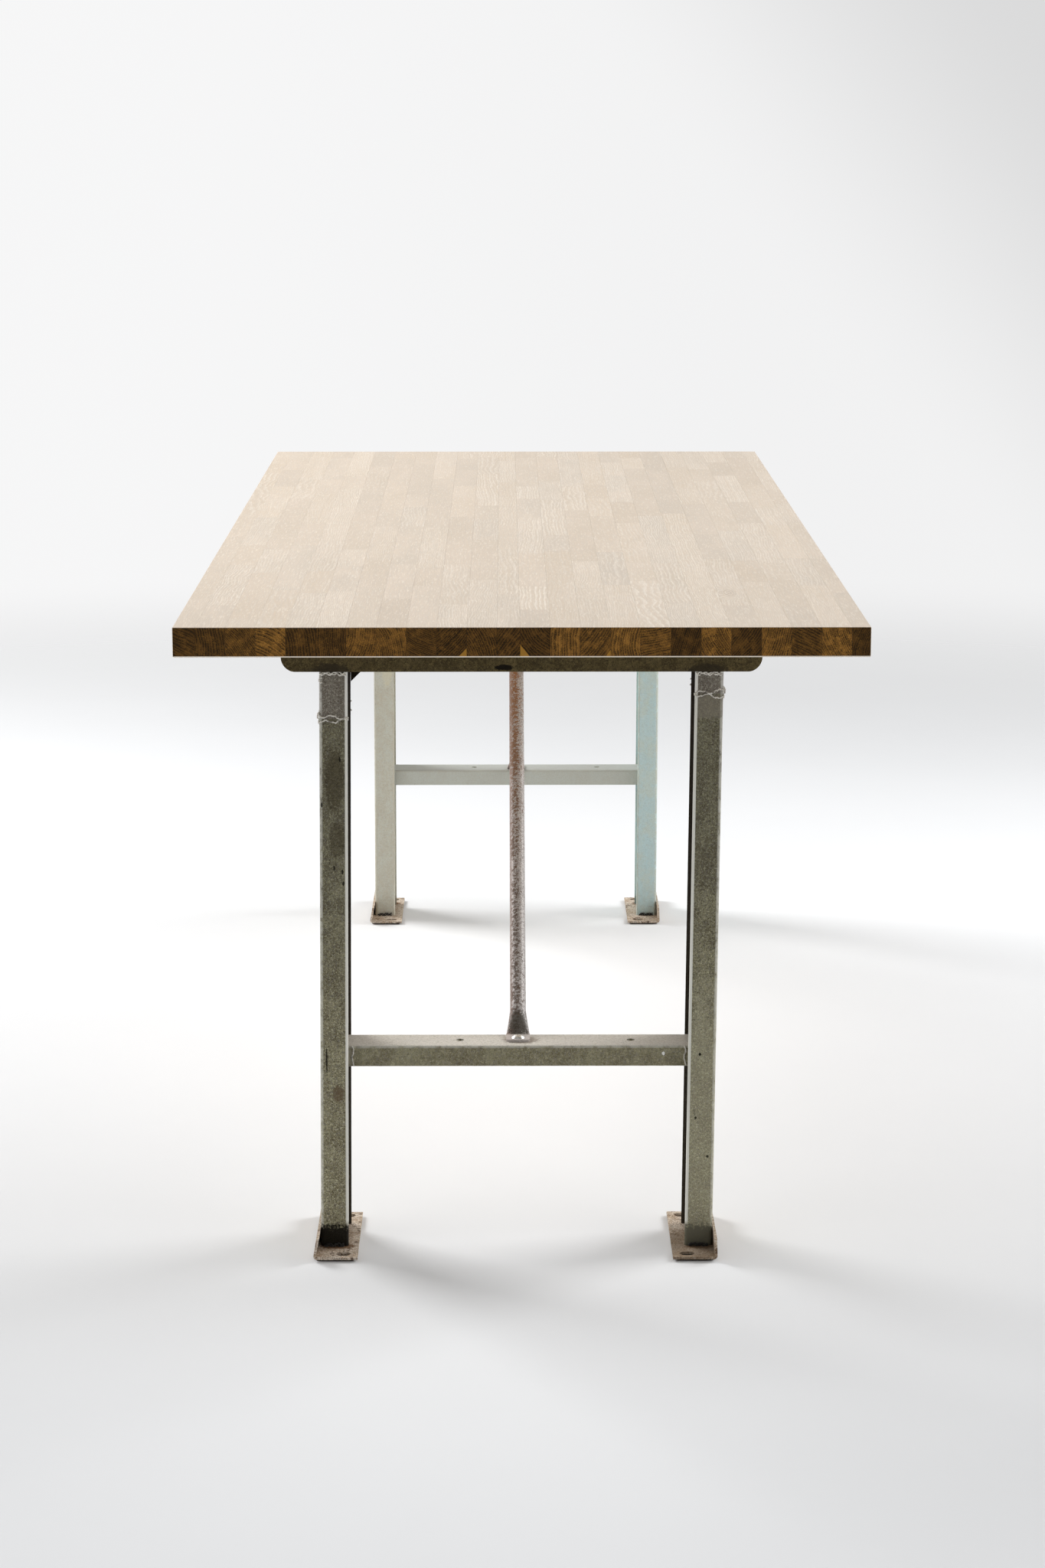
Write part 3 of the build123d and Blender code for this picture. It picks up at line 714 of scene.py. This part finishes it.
def steelFinish(name, kind, marks=(), leg=None, calm=1.0):
    look = paints[kind]
    material, tree, shader = startMaterial(name)
    where = place(tree)
    colour, patch, fine, other, coarse = paintCoat(tree, where, look, calm)
    if leg:
        colour = shaded(tree, colour, headDarkening(tree, where, patch, look["headShade"]))
    colour = blend(tree, settledDust(tree, fine, other, look["dusty"]), colour, look["dust"])
    # folds take the edge colour: worn paint, and on olive and bare steel a painted highlight
    colour = blend(tree, bendWearAndHighlight(tree, coarse, look["edgeAmount"]), colour, look["edge"])
    rough = fade(tree, coarse, 0.3, 0.7, *look["rough"])
    gloss = look["gloss"]
    for middle, reach, tint, amount in marks:
        mask = times(tree, spot(tree, where, middle, reach), amount)
        colour = blend(tree, mask, colour, tint)
        rough = calc(tree, "MULTIPLY_ADD", mask, 0.2, rough)
        gloss = times(tree, gloss, fade(tree, mask, 0.0, 1.0, 1.0, 0.15))
    if leg:
        # painted highlight in the pale edge colour down the flange's open edge
        toe = times(tree, toeHighlight(tree, where, leg), fade(tree, fine, 0.72, 0.55, 0.6, 1.0))
        colour = blend(tree, toe, colour, look["edge"])
        # painted shade and grime inside the leg channel
        colour = blend(tree, legHollowShadeAndGrime(tree, where, leg), colour, stains["hollowShadeAndGrime"])
    link(tree, colour, shader, "Base Color")
    link(tree, rough, shader, "Roughness")
    shader.inputs["Metallic"].default_value = look["metallic"]
    if marks:
        link(tree, gloss, shader, "Specular IOR Level")
    else:
        shader.inputs["Specular IOR Level"].default_value = gloss
    relief = calc(tree, "MULTIPLY_ADD", coarse, 0.8, times(tree, fine, 0.4))
    link(tree, bump(tree, relief, 0.3, 0.35 * mm), shader, "Normal")
    return material


def wear(node, material):
    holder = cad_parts[node]
    for index in range(len(holder.material_slots)):
        holder.material_slots[index].material = material


def mark(middle, reach, tint, amount):
    # one stain: where it is in metres, how far it reaches in millimetres, its colour and strength
    return tuple(middle), tuple(part * mm for part in reach), stains[tint], amount


def legMarks(end, side):
    # scorched foot, sooty head, what each leg has picked up, painted shade down the rear left leg's outer
    # edge, and the right front leg paler low down
    low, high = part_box(f"{end}_{side}_leg")
    middle = 0.5 * (low.x + high.x)
    near = low.y
    if end == "rear":
        marks = [mark((middle, high.y, 12 * mm), (30, 12, 16), "heelRust", 0.5)]
    else:
        marks = [mark((middle, near, 8 * mm), (160, 26, 31), "soot", 0.97)]
    if (end, side) == ("rear", "left"):
        marks += [
            mark((middle - 8 * mm, near, 0.62), (14, 20, 60), "ochre", 0.5),
            mark((middle + 6 * mm, near, 0.50), (12, 20, 50), "cream", 0.5),
            # painted shade down the leg's outer edge
            mark((low.x, near, 0.60), (5, 90, 300), "shadedSage", 0.5),
        ]
    if (end, side) == ("front", "left"):
        marks += [
            mark((middle + 5 * mm, near, 0.225), (8, 6, 12), "brown", 0.7),
            mark((low.x + 11 * mm, near, 0.272), (1.2, 8, 20), "soot", 0.9),
            mark((middle + 4 * mm, near, 0.662), (14, 8, 46), "oil", 0.6),
            mark((middle + 6 * mm, near, 0.578), (12, 8, 26), "oil", 0.5),
        ]
        for x, z in ((2, 0.541), (13, 0.536), (14, 0.520), (-14, 0.628), (11, 0.690)):
            marks.append(mark((middle + x * mm, near, z), (1.4, 8, 3.6), "soot", 0.9))
    if (end, side) == ("front", "right"):
        marks += [
            # paler low down on this leg
            mark((middle, near, 0.13), (40, 60, 260), "paleOlive", 0.28),
            mark((middle - 2 * mm, near, 0.762), (60, 200, 17), "weldHeat", 0.55),
            mark((middle - 4 * mm, near, 0.280), (2.0, 6, 2.4), "soot", 0.95),
            mark((middle + 8 * mm, near, 0.135), (2.0, 6, 2.2), "soot", 0.9),
            mark((middle - 9 * mm, near, 0.19), (1.6, 6, 2.0), "soot", 0.9),
        ]
    return marks


def channelMarks():
    # a burn near the middle, and scorched steel over each leg
    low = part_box("front_top_channel")[0]
    marks = [mark((-23 * mm, low.y, low.z + 6 * mm), (13, 6, 4), "soot", 0.97)]
    for side in sides:
        legLow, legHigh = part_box(f"front_{side}_leg")
        marks.append(mark((0.5 * (legLow.x + legHigh.x), low.y, low.z), (30, 60, 12), "scorch", 0.75))
    return marks


def barMarks():
    # a bright chip, rubbed ends, and rust round the bolt
    low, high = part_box("front_crossbar")
    face = low.y
    return [
        mark((0.194, face, high.z - 11 * mm), (2.2, 4, 2.6), "bared", 0.95),
        mark((low.x + 26 * mm, face, high.z - 14 * mm), (16, 6, 16), "leftRub", 0.5),
        mark((high.x - 22 * mm, face, high.z - 16 * mm), (10, 5, 9), "rightRub", 0.4),
        mark((0.0, face + 30 * mm, high.z), (26, 20, 5), "boltRust", 0.6),
    ]


def plateMarks(end, side):
    # burnt rust round the leg, paler steel behind it; the right front plate is the dirtiest
    low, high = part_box(f"{end}_{side}_leg")
    toe = low.x + legFlange if side == "left" else high.x - legFlange
    middle = 0.5 * (low.x + high.x)
    face = low.y if end == "front" else high.y
    marks = [mark((middle, face, 6 * mm), (26, 13, 12), "rust", 0.85),
             mark((toe, 0.5 * (low.y + high.y), 6 * mm), (5, 54, 12), "rust", 0.2)]
    if (end, side) == ("front", "right"):
        marks.append(mark((middle - 10 * mm, face, 4 * mm), (60, 70, 30), "dirt", 0.68))
    return marks


def wholeMark(node, reach, tint, amount):
    # one mark over all of a piece: a stain on the rear bar, painted shade on the gusset
    low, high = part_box(node)
    return [mark((low + high) / 2, reach, tint, amount)]


for side in sides:
    node = f"front_{side}_leg"
    wear(node, steelFinish(f"olive{side.title()}Leg", "olive", legMarks("front", side), node))
wear("front_crossbar", steelFinish("oliveBar", "olive", barMarks(), calm=0.55))
wear("rear_left_leg", steelFinish("sageLeg", "sage", legMarks("rear", "left")))
wear("rear_right_leg", steelFinish("blueLeg", "blue", legMarks("rear", "right")))
sageBarMarks = wholeMark("rear_crossbar", (400, 200, 60), "dullSage", 0.5)
wear("rear_crossbar", steelFinish("sageBar", "sage", sageBarMarks))
wear("front_top_channel", steelFinish("frontMillSteel", "millSteel", channelMarks()))
wear("rear_top_channel", steelFinish("rearMillSteel", "millSteel"))
# the gusset is painted near black with the soot colour: painted shade, where it sits back under the channel
gussetShadeMarks = wholeMark("front_left_gusset", (60, 60, 60), "soot", 0.85)
wear("front_left_gusset", steelFinish("shadeDarkGusset", "millSteel", gussetShadeMarks))
for side in sides:
    node = f"front_{side}_leg_extension"
    wear(node, steelFinish(f"{side}GroundSteel", "bareSteel", leg=node))
for end in ends:
    for side in sides:
        rusty = steelFinish(f"{end}{side.title()}RustyPlate", "rustyPlate", plateMarks(end, side))
        wear(f"{end}_{side}_foot_plate", rusty)
print("steel finished")


# galvanised braces

brace = {
    "zinc": (0.27, 0.24, 0.225),
    "bright": (0.60, 0.565, 0.545),
    "rust": (0.31, 0.120, 0.028),       # high up
    "oldRust": (0.10, 0.055, 0.030),    # low down
    "blush": (0.40, 0.27, 0.22),        # pink rust along the left
    "soot": (0.050, 0.042, 0.024),
    "grit": (0.10, 0.07, 0.05),
    "bared": (0.62, 0.57, 0.54),        # under the bolt head
    "tabReach": 32 * mm,                # how far from its end the tab is bare
    "sootAway": 38 * mm,                # where the flare is sooty, from that end and over the floor
    "sootHeight": 302 * mm,
}


def makeBraceFinish(end):
    low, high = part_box(f"{end}_brace_tube")
    middle = 0.5 * (low.x + high.x)
    material, tree, shader = startMaterial(f"{end}GalvanisedTube")
    where = place(tree)
    x, y, z = split(tree, where)
    coarse = mottle(tree, where, 210.0, 3.0, 0.8)
    fine = mottle(tree, where, 430.0, 2.0, 0.8)
    flow = mottle(tree, where, 14.0, 3.0, 0.6)
    colour = blend(tree, fade(tree, fine, 0.42, 0.58), brace["zinc"], brace["bright"])
    # rust in a band left of the middle, thicker higher up
    band = times(tree, fade(tree, x, middle - 13 * mm, middle - 8 * mm),
                 fade(tree, x, middle + 5 * mm, middle - 1 * mm))
    rust = plus(tree, times(tree, band, 0.13), times(tree, flow, 0.30))
    rust = plus(tree, rust, fade(tree, z, 0.40, 0.85, -0.03, 0.06))
    rust = fade(tree, plus(tree, coarse, rust), 0.69, 0.80)
    rustTint = blend(tree, fade(tree, z, 0.40, 0.75), brace["oldRust"], brace["rust"])
    colour = blend(tree, times(tree, rust, 0.85), colour, rustTint)
    pink = times(tree, fade(tree, x, middle - 4 * mm, middle - 11 * mm), 0.6)
    colour = blend(tree, pink, colour, brace["blush"])
    leftward = fade(tree, x, middle + 12 * mm, middle - 12 * mm)
    grit = fade(tree, plus(tree, fine, times(tree, leftward, 0.04)), 0.60, 0.72, 0.0, 0.6)
    colour = blend(tree, grit, colour, brace["grit"])
    # soot on the flare, bare metal on the tab
    foot = low.y if end == "front" else high.y
    inward = 1.0 if end == "front" else -1.0
    flare = (middle, foot + inward * brace["sootAway"], brace["sootHeight"])
    soot = spot(tree, where, flare, (17 * mm, 28 * mm, 18 * mm), 1.3, 420.0)
    colour = blend(tree, times(tree, soot, 0.8), colour, brace["soot"])
    fromEnd = calc(tree, "MULTIPLY_ADD", fine, 4 * mm, calc(tree, "ABSOLUTE", less(tree, y, foot)))
    bared = fade(tree, fromEnd, brace["tabReach"], brace["tabReach"] - 6 * mm, 0.0, 0.75)
    colour = blend(tree, bared, colour, brace["bared"])
    # painted light and shade: the whole tube is painted darker low down and lighter high up, following its
    # lit right side
    colour = shaded(tree, colour, fade(tree, z, 0.40, 0.66, 0.95, 1.06))
    link(tree, colour, shader, "Base Color")
    link(tree, fade(tree, rust, 0.0, 1.0, 0.46, 0.80), shader, "Roughness")
    link(tree, fade(tree, rust, 0.0, 1.0, 0.08, 0.0), shader, "Metallic")
    link(tree, bump(tree, plus(tree, coarse, fine), 0.3, 0.3 * mm), shader, "Normal")
    return material


for end in ends:
    wear(f"{end}_brace_tube", makeBraceFinish(end))


# zinc hardware and rubber pads

hardware = {
    "zinc": (0.60, 0.60, 0.57),
    "zincBright": (0.86, 0.86, 0.84),
    "zincStain": (0.30, 0.24, 0.18),
    "rubber": (0.022, 0.020, 0.018),
    "rubberWorn": (0.055, 0.050, 0.044),
    "rubberDust": (0.16, 0.15, 0.13),
    "weld": (0.64, 0.61, 0.54),
    "weldBright": (0.94, 0.92, 0.87),
    "weldPit": (0.14, 0.12, 0.09),
    "scorchedWeld": 0.06,               # how bright the burnt beads at the feet are
}


def makeZinc():
    material, tree, shader = startMaterial("zincPlate")
    where = place(tree)
    fine = mottle(tree, where, 420.0, 3.0, 0.6)
    wide = mottle(tree, where, 90.0, 2.0, 0.5)
    colour = blend(tree, fade(tree, fine, 0.3, 0.7), hardware["zinc"], hardware["zincBright"])
    colour = blend(tree, fade(tree, wide, 0.58, 0.72, 0.0, 0.6), colour, hardware["zincStain"])
    link(tree, colour, shader, "Base Color")
    link(tree, fade(tree, fine, 0.3, 0.7, 0.22, 0.42), shader, "Roughness")
    shader.inputs["Metallic"].default_value = 0.9
    link(tree, bump(tree, fine, 0.15, 0.15 * mm), shader, "Normal")
    return material


def makeRubber():
    material, tree, shader = startMaterial("rubberPad")
    where = place(tree)
    fine = mottle(tree, where, 700.0, 3.0, 0.7)
    wide = mottle(tree, where, 60.0, 3.0, 0.6)
    colour = blend(tree, fade(tree, wide, 0.35, 0.7), hardware["rubber"], hardware["rubberWorn"])
    colour = blend(tree, fade(tree, fine, 0.58, 0.75, 0.0, 0.4), colour, hardware["rubberDust"])
    link(tree, colour, shader, "Base Color")
    link(tree, fade(tree, fine, 0.3, 0.7, 0.65, 0.85), shader, "Roughness")
    link(tree, bump(tree, fine, 0.3, 0.2 * mm), shader, "Normal")
    return material


def makeWeldMetal(name="weldMetal", brightness=1.0):
    material, tree, shader = startMaterial(name)
    where = place(tree)
    fine = mottle(tree, where, 520.0, 3.0, 0.7)
    wide = mottle(tree, where, 130.0, 3.0, 0.6)
    dull = tuple(c * brightness for c in hardware["weld"])
    bright = tuple(c * brightness for c in hardware["weldBright"])
    colour = blend(tree, fade(tree, fine, 0.35, 0.65), dull, bright)
    pits = tuple(c * min(1.0, brightness * 2.0) for c in hardware["weldPit"])
    colour = blend(tree, fade(tree, wide, 0.54, 0.66, 0.0, 0.7), colour, pits)
    link(tree, colour, shader, "Base Color")
    link(tree, fade(tree, fine, 0.3, 0.7, 0.25, 0.5), shader, "Roughness")
    shader.inputs["Metallic"].default_value = 0.5
    link(tree, bump(tree, plus(tree, fine, wide), 0.4, 0.3 * mm), shader, "Normal")
    return material


zinc = makeZinc()
for node in ("brace_foot_bolts", "brace_foot_washers", "brace_foot_nuts", "frame_lag_screws",
             "frame_lag_washers", "brace_head_screws", "brace_head_washers"):
    wear(node, zinc)
rubber = makeRubber()
for end in ends:
    for side in sides:
        wear(f"{end}_{side}_foot_pad", rubber)
weldMetal = makeWeldMetal()
print("braces, hardware and pads finished")


# weld beads

bead = {
    "thick": 1.25 * mm,         # radius of one ripple
    "pitch": 1.25 * mm,         # from ripple to ripple
    "squash": 0.55,             # how thin a ripple is along the bead
    "wander": 2.0 * mm,         # how far a bead strays from its line
    "uneven": 0.18,             # how much ripples differ in size
    "headReach": 3.2 * mm,      # how far a bead runs on past the front legs' heads
    "spliceRise": 4.6 * mm,     # how far above and below its line the passes of a splice bead start
    "looseCurl": (0.4 * mm, 1.1 * mm, 4 * mm),      # its standing off, its swing and half its height
    "headCurl": (2.4 * mm, 3.4 * mm),               # half its width and half its height
    "headCurlAt": (-2 * mm, 5 * mm, -7 * mm),       # from the low corner of the head beads
}


def makeRipple():
    deselectAll()
    bpy.ops.mesh.primitive_ico_sphere_add(subdivisions=2, radius=bead["thick"])
    ripple = bpy.context.object
    ripple.name = "weldRipple"
    bpy.ops.object.mode_set(mode="EDIT")
    bpy.ops.mesh.select_all(action="SELECT")
    bpy.ops.transform.resize(value=(bead["squash"], 1.0, 1.0))
    bpy.ops.mesh.select_all(action="DESELECT")
    shape = bmesh.from_edit_mesh(ripple.data)
    for vertex in shape.verts:
        vertex.select_set(vertex.co.x > 0.3 * mm)       # each ripple leans over the one before
    bmesh.update_edit_mesh(ripple.data)
    bpy.ops.transform.resize(value=(1.0, 0.82, 0.82))
    bpy.ops.object.mode_set(mode="OBJECT")
    bpy.ops.object.shade_smooth()
    return ripple


def alongPath(points, pitch):
    # even steps along straight runs, with the direction at each
    steps = []
    for start, end in zip(points, points[1:]):
        run = end - start
        count = max(1, round(run.length / pitch))
        steps += [(start + run * (i / count), run.normalized()) for i in range(count)]
    return steps


def wavy(start, end, outward, waves=2.5, phase=0.0, stray=1.0):
    # a bead's line between two corners, straying sideways as a hand-held torch does
    run = end - start
    sideways = run.normalized().cross(outward)
    count = max(4, round(run.length / (2 * mm)))
    path = []
    for i in range(count + 1):
        t = i / count
        sway = math.sin(2 * math.pi * waves * t + phase) + draw.uniform(-0.5, 0.5)
        path.append(start + run * t + sideways * sway * bead["wander"] * stray)
    return path


def makeBeads(node, paths, ripple, metal):
    parts = []
    for path in paths:
        for spotOn, direction in alongPath(path, bead["pitch"]):
            part = bpy.data.objects.new("ripple", ripple.data.copy())
            part.location = spotOn
            part.rotation_euler = direction.to_track_quat("X", "Z").to_euler()
            part.scale = [draw.uniform(1.0 - bead["uneven"], 1.0 + bead["uneven"])] * 3
            bpy.context.scene.collection.objects.link(part)
            parts.append(part)
    deselectAll()
    for part in parts:
        part.select_set(True)
    bpy.context.view_layer.objects.active = parts[0]
    bpy.ops.object.join()
    piece = bpy.context.object
    bpy.ops.object.transform_apply(location=True, rotation=True, scale=True)
    piece.name = node.replace("welds", "weld_beads")
    piece.data.materials.clear()
    piece.data.materials.append(metal)
    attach(piece, "root")
    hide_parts(node)


towardsFront = Vector((0.0, -1.0, 0.0))
towardsBack = Vector((0.0, 1.0, 0.0))
upward = Vector((0.0, 0.0, 1.0))


def seatedBeads(node):
    # two passes along the long side of every CAD weld, crossing as they stray
    paths = []
    for low, high in solidBoxes(node):
        middle = (low + high) / 2
        size = high - low
        start, end = middle.copy(), middle.copy()
        axis = 0 if size.x > size.y else 1
        reach = bead["headReach"] if node == "front_top_welds" else -bead["thick"]
        start[axis] = low[axis] - reach
        end[axis] = high[axis] + reach
        nearSide = middle.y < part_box(node)[0].y + 20 * mm
        outward = upward if axis == 1 else (towardsFront if nearSide else towardsBack)
        for phase in (0.0, 2.2):
            paths.append(wavy(start, end, outward, phase=phase))
    return paths


def ringBeads(low, high, rise):
    # a bead round the outside of a splice: near flange, web, far flange
    level = (low.z + high.z) / 2
    web = low.x if low.x + high.x < 0.0 else high.x
    toe = high.x if low.x + high.x < 0.0 else low.x
    inward = 1.0 if toe > web else -1.0
    out = Vector((-inward, 0.0, 0.0))
    proud = bead["thick"] * 1.05
    near, far = low.y + proud, high.y - proud
    side = web + inward * proud
    paths = []
    for phase, lift in ((0.3, rise), (2.6, -rise)):
        z = level + lift
        nearCorner = Vector((side, near, z))
        farCorner = Vector((side, far, z))
        paths.append(wavy(nearCorner, Vector((toe, near, level + lift * 0.2)), towardsFront, 1.6, phase))
        paths.append(wavy(nearCorner, farCorner, out, 5.0, phase))
        paths.append(wavy(farCorner, Vector((toe, far, z)), towardsBack, 2.2, phase))
    # a loose curl of metal hangs outside the web
    off, swing, half = bead["looseCurl"]
    curl = []
    for step in range(10):
        turn = 0.3 * step
        x = side - inward * (off + swing * math.sin(turn))
        curl.append(Vector((x, near, level + half + half * math.cos(turn))))
    paths.append(curl)
    return paths


def headBeads(node):
    paths = seatedBeads(node)
    if node.startswith("front"):
        # the left leg's bead ends in a small curl
        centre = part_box(node)[0] + Vector(bead["headCurlAt"])
        wide, tall = bead["headCurl"]
        paths.append([centre + Vector((wide * math.cos(a), 0.0, tall * math.sin(a)))
                      for a in (0.35 * i for i in range(3, 17))])
    return paths


def barBeads(node, end):
    # across the bar's top, and down its face beside each leg
    paths = seatedBeads(node)
    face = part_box(f"{end}_crossbar")
    front = towardsFront if end == "front" else towardsBack
    y = face[0].y if end == "front" else face[1].y
    for side in sides:
        legLow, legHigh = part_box(f"{end}_{side}_leg")
        toe = legHigh.x if side == "left" else legLow.x
        inward = 1.0 if side == "left" else -1.0
        x = toe + inward * 1.0 * mm
        start = Vector((x, y, face[0].z + 2 * mm))
        paths.append(wavy(start, Vector((x, y, face[1].z)), front, 1.5, 1.0, 0.6))
    return paths


ripple = makeRipple()
darkMetal = makeWeldMetal("scorchedWeld", hardware["scorchedWeld"])
for end in ends:
    makeBeads(f"{end}_top_welds", headBeads(f"{end}_top_welds"), ripple, weldMetal)
    makeBeads(f"{end}_crossbar_welds", barBeads(f"{end}_crossbar_welds", end), ripple, weldMetal)
    makeBeads(f"{end}_foot_welds", seatedBeads(f"{end}_foot_welds"), ripple, darkMetal)
splices = []
for low, high in solidBoxes("front_splice_welds"):
    splices += ringBeads(low, high, bead["spliceRise"])
makeBeads("front_splice_welds", splices, ripple, weldMetal)
bpy.data.objects.remove(ripple)
print("beads laid")

bpy.context.view_layer.update()
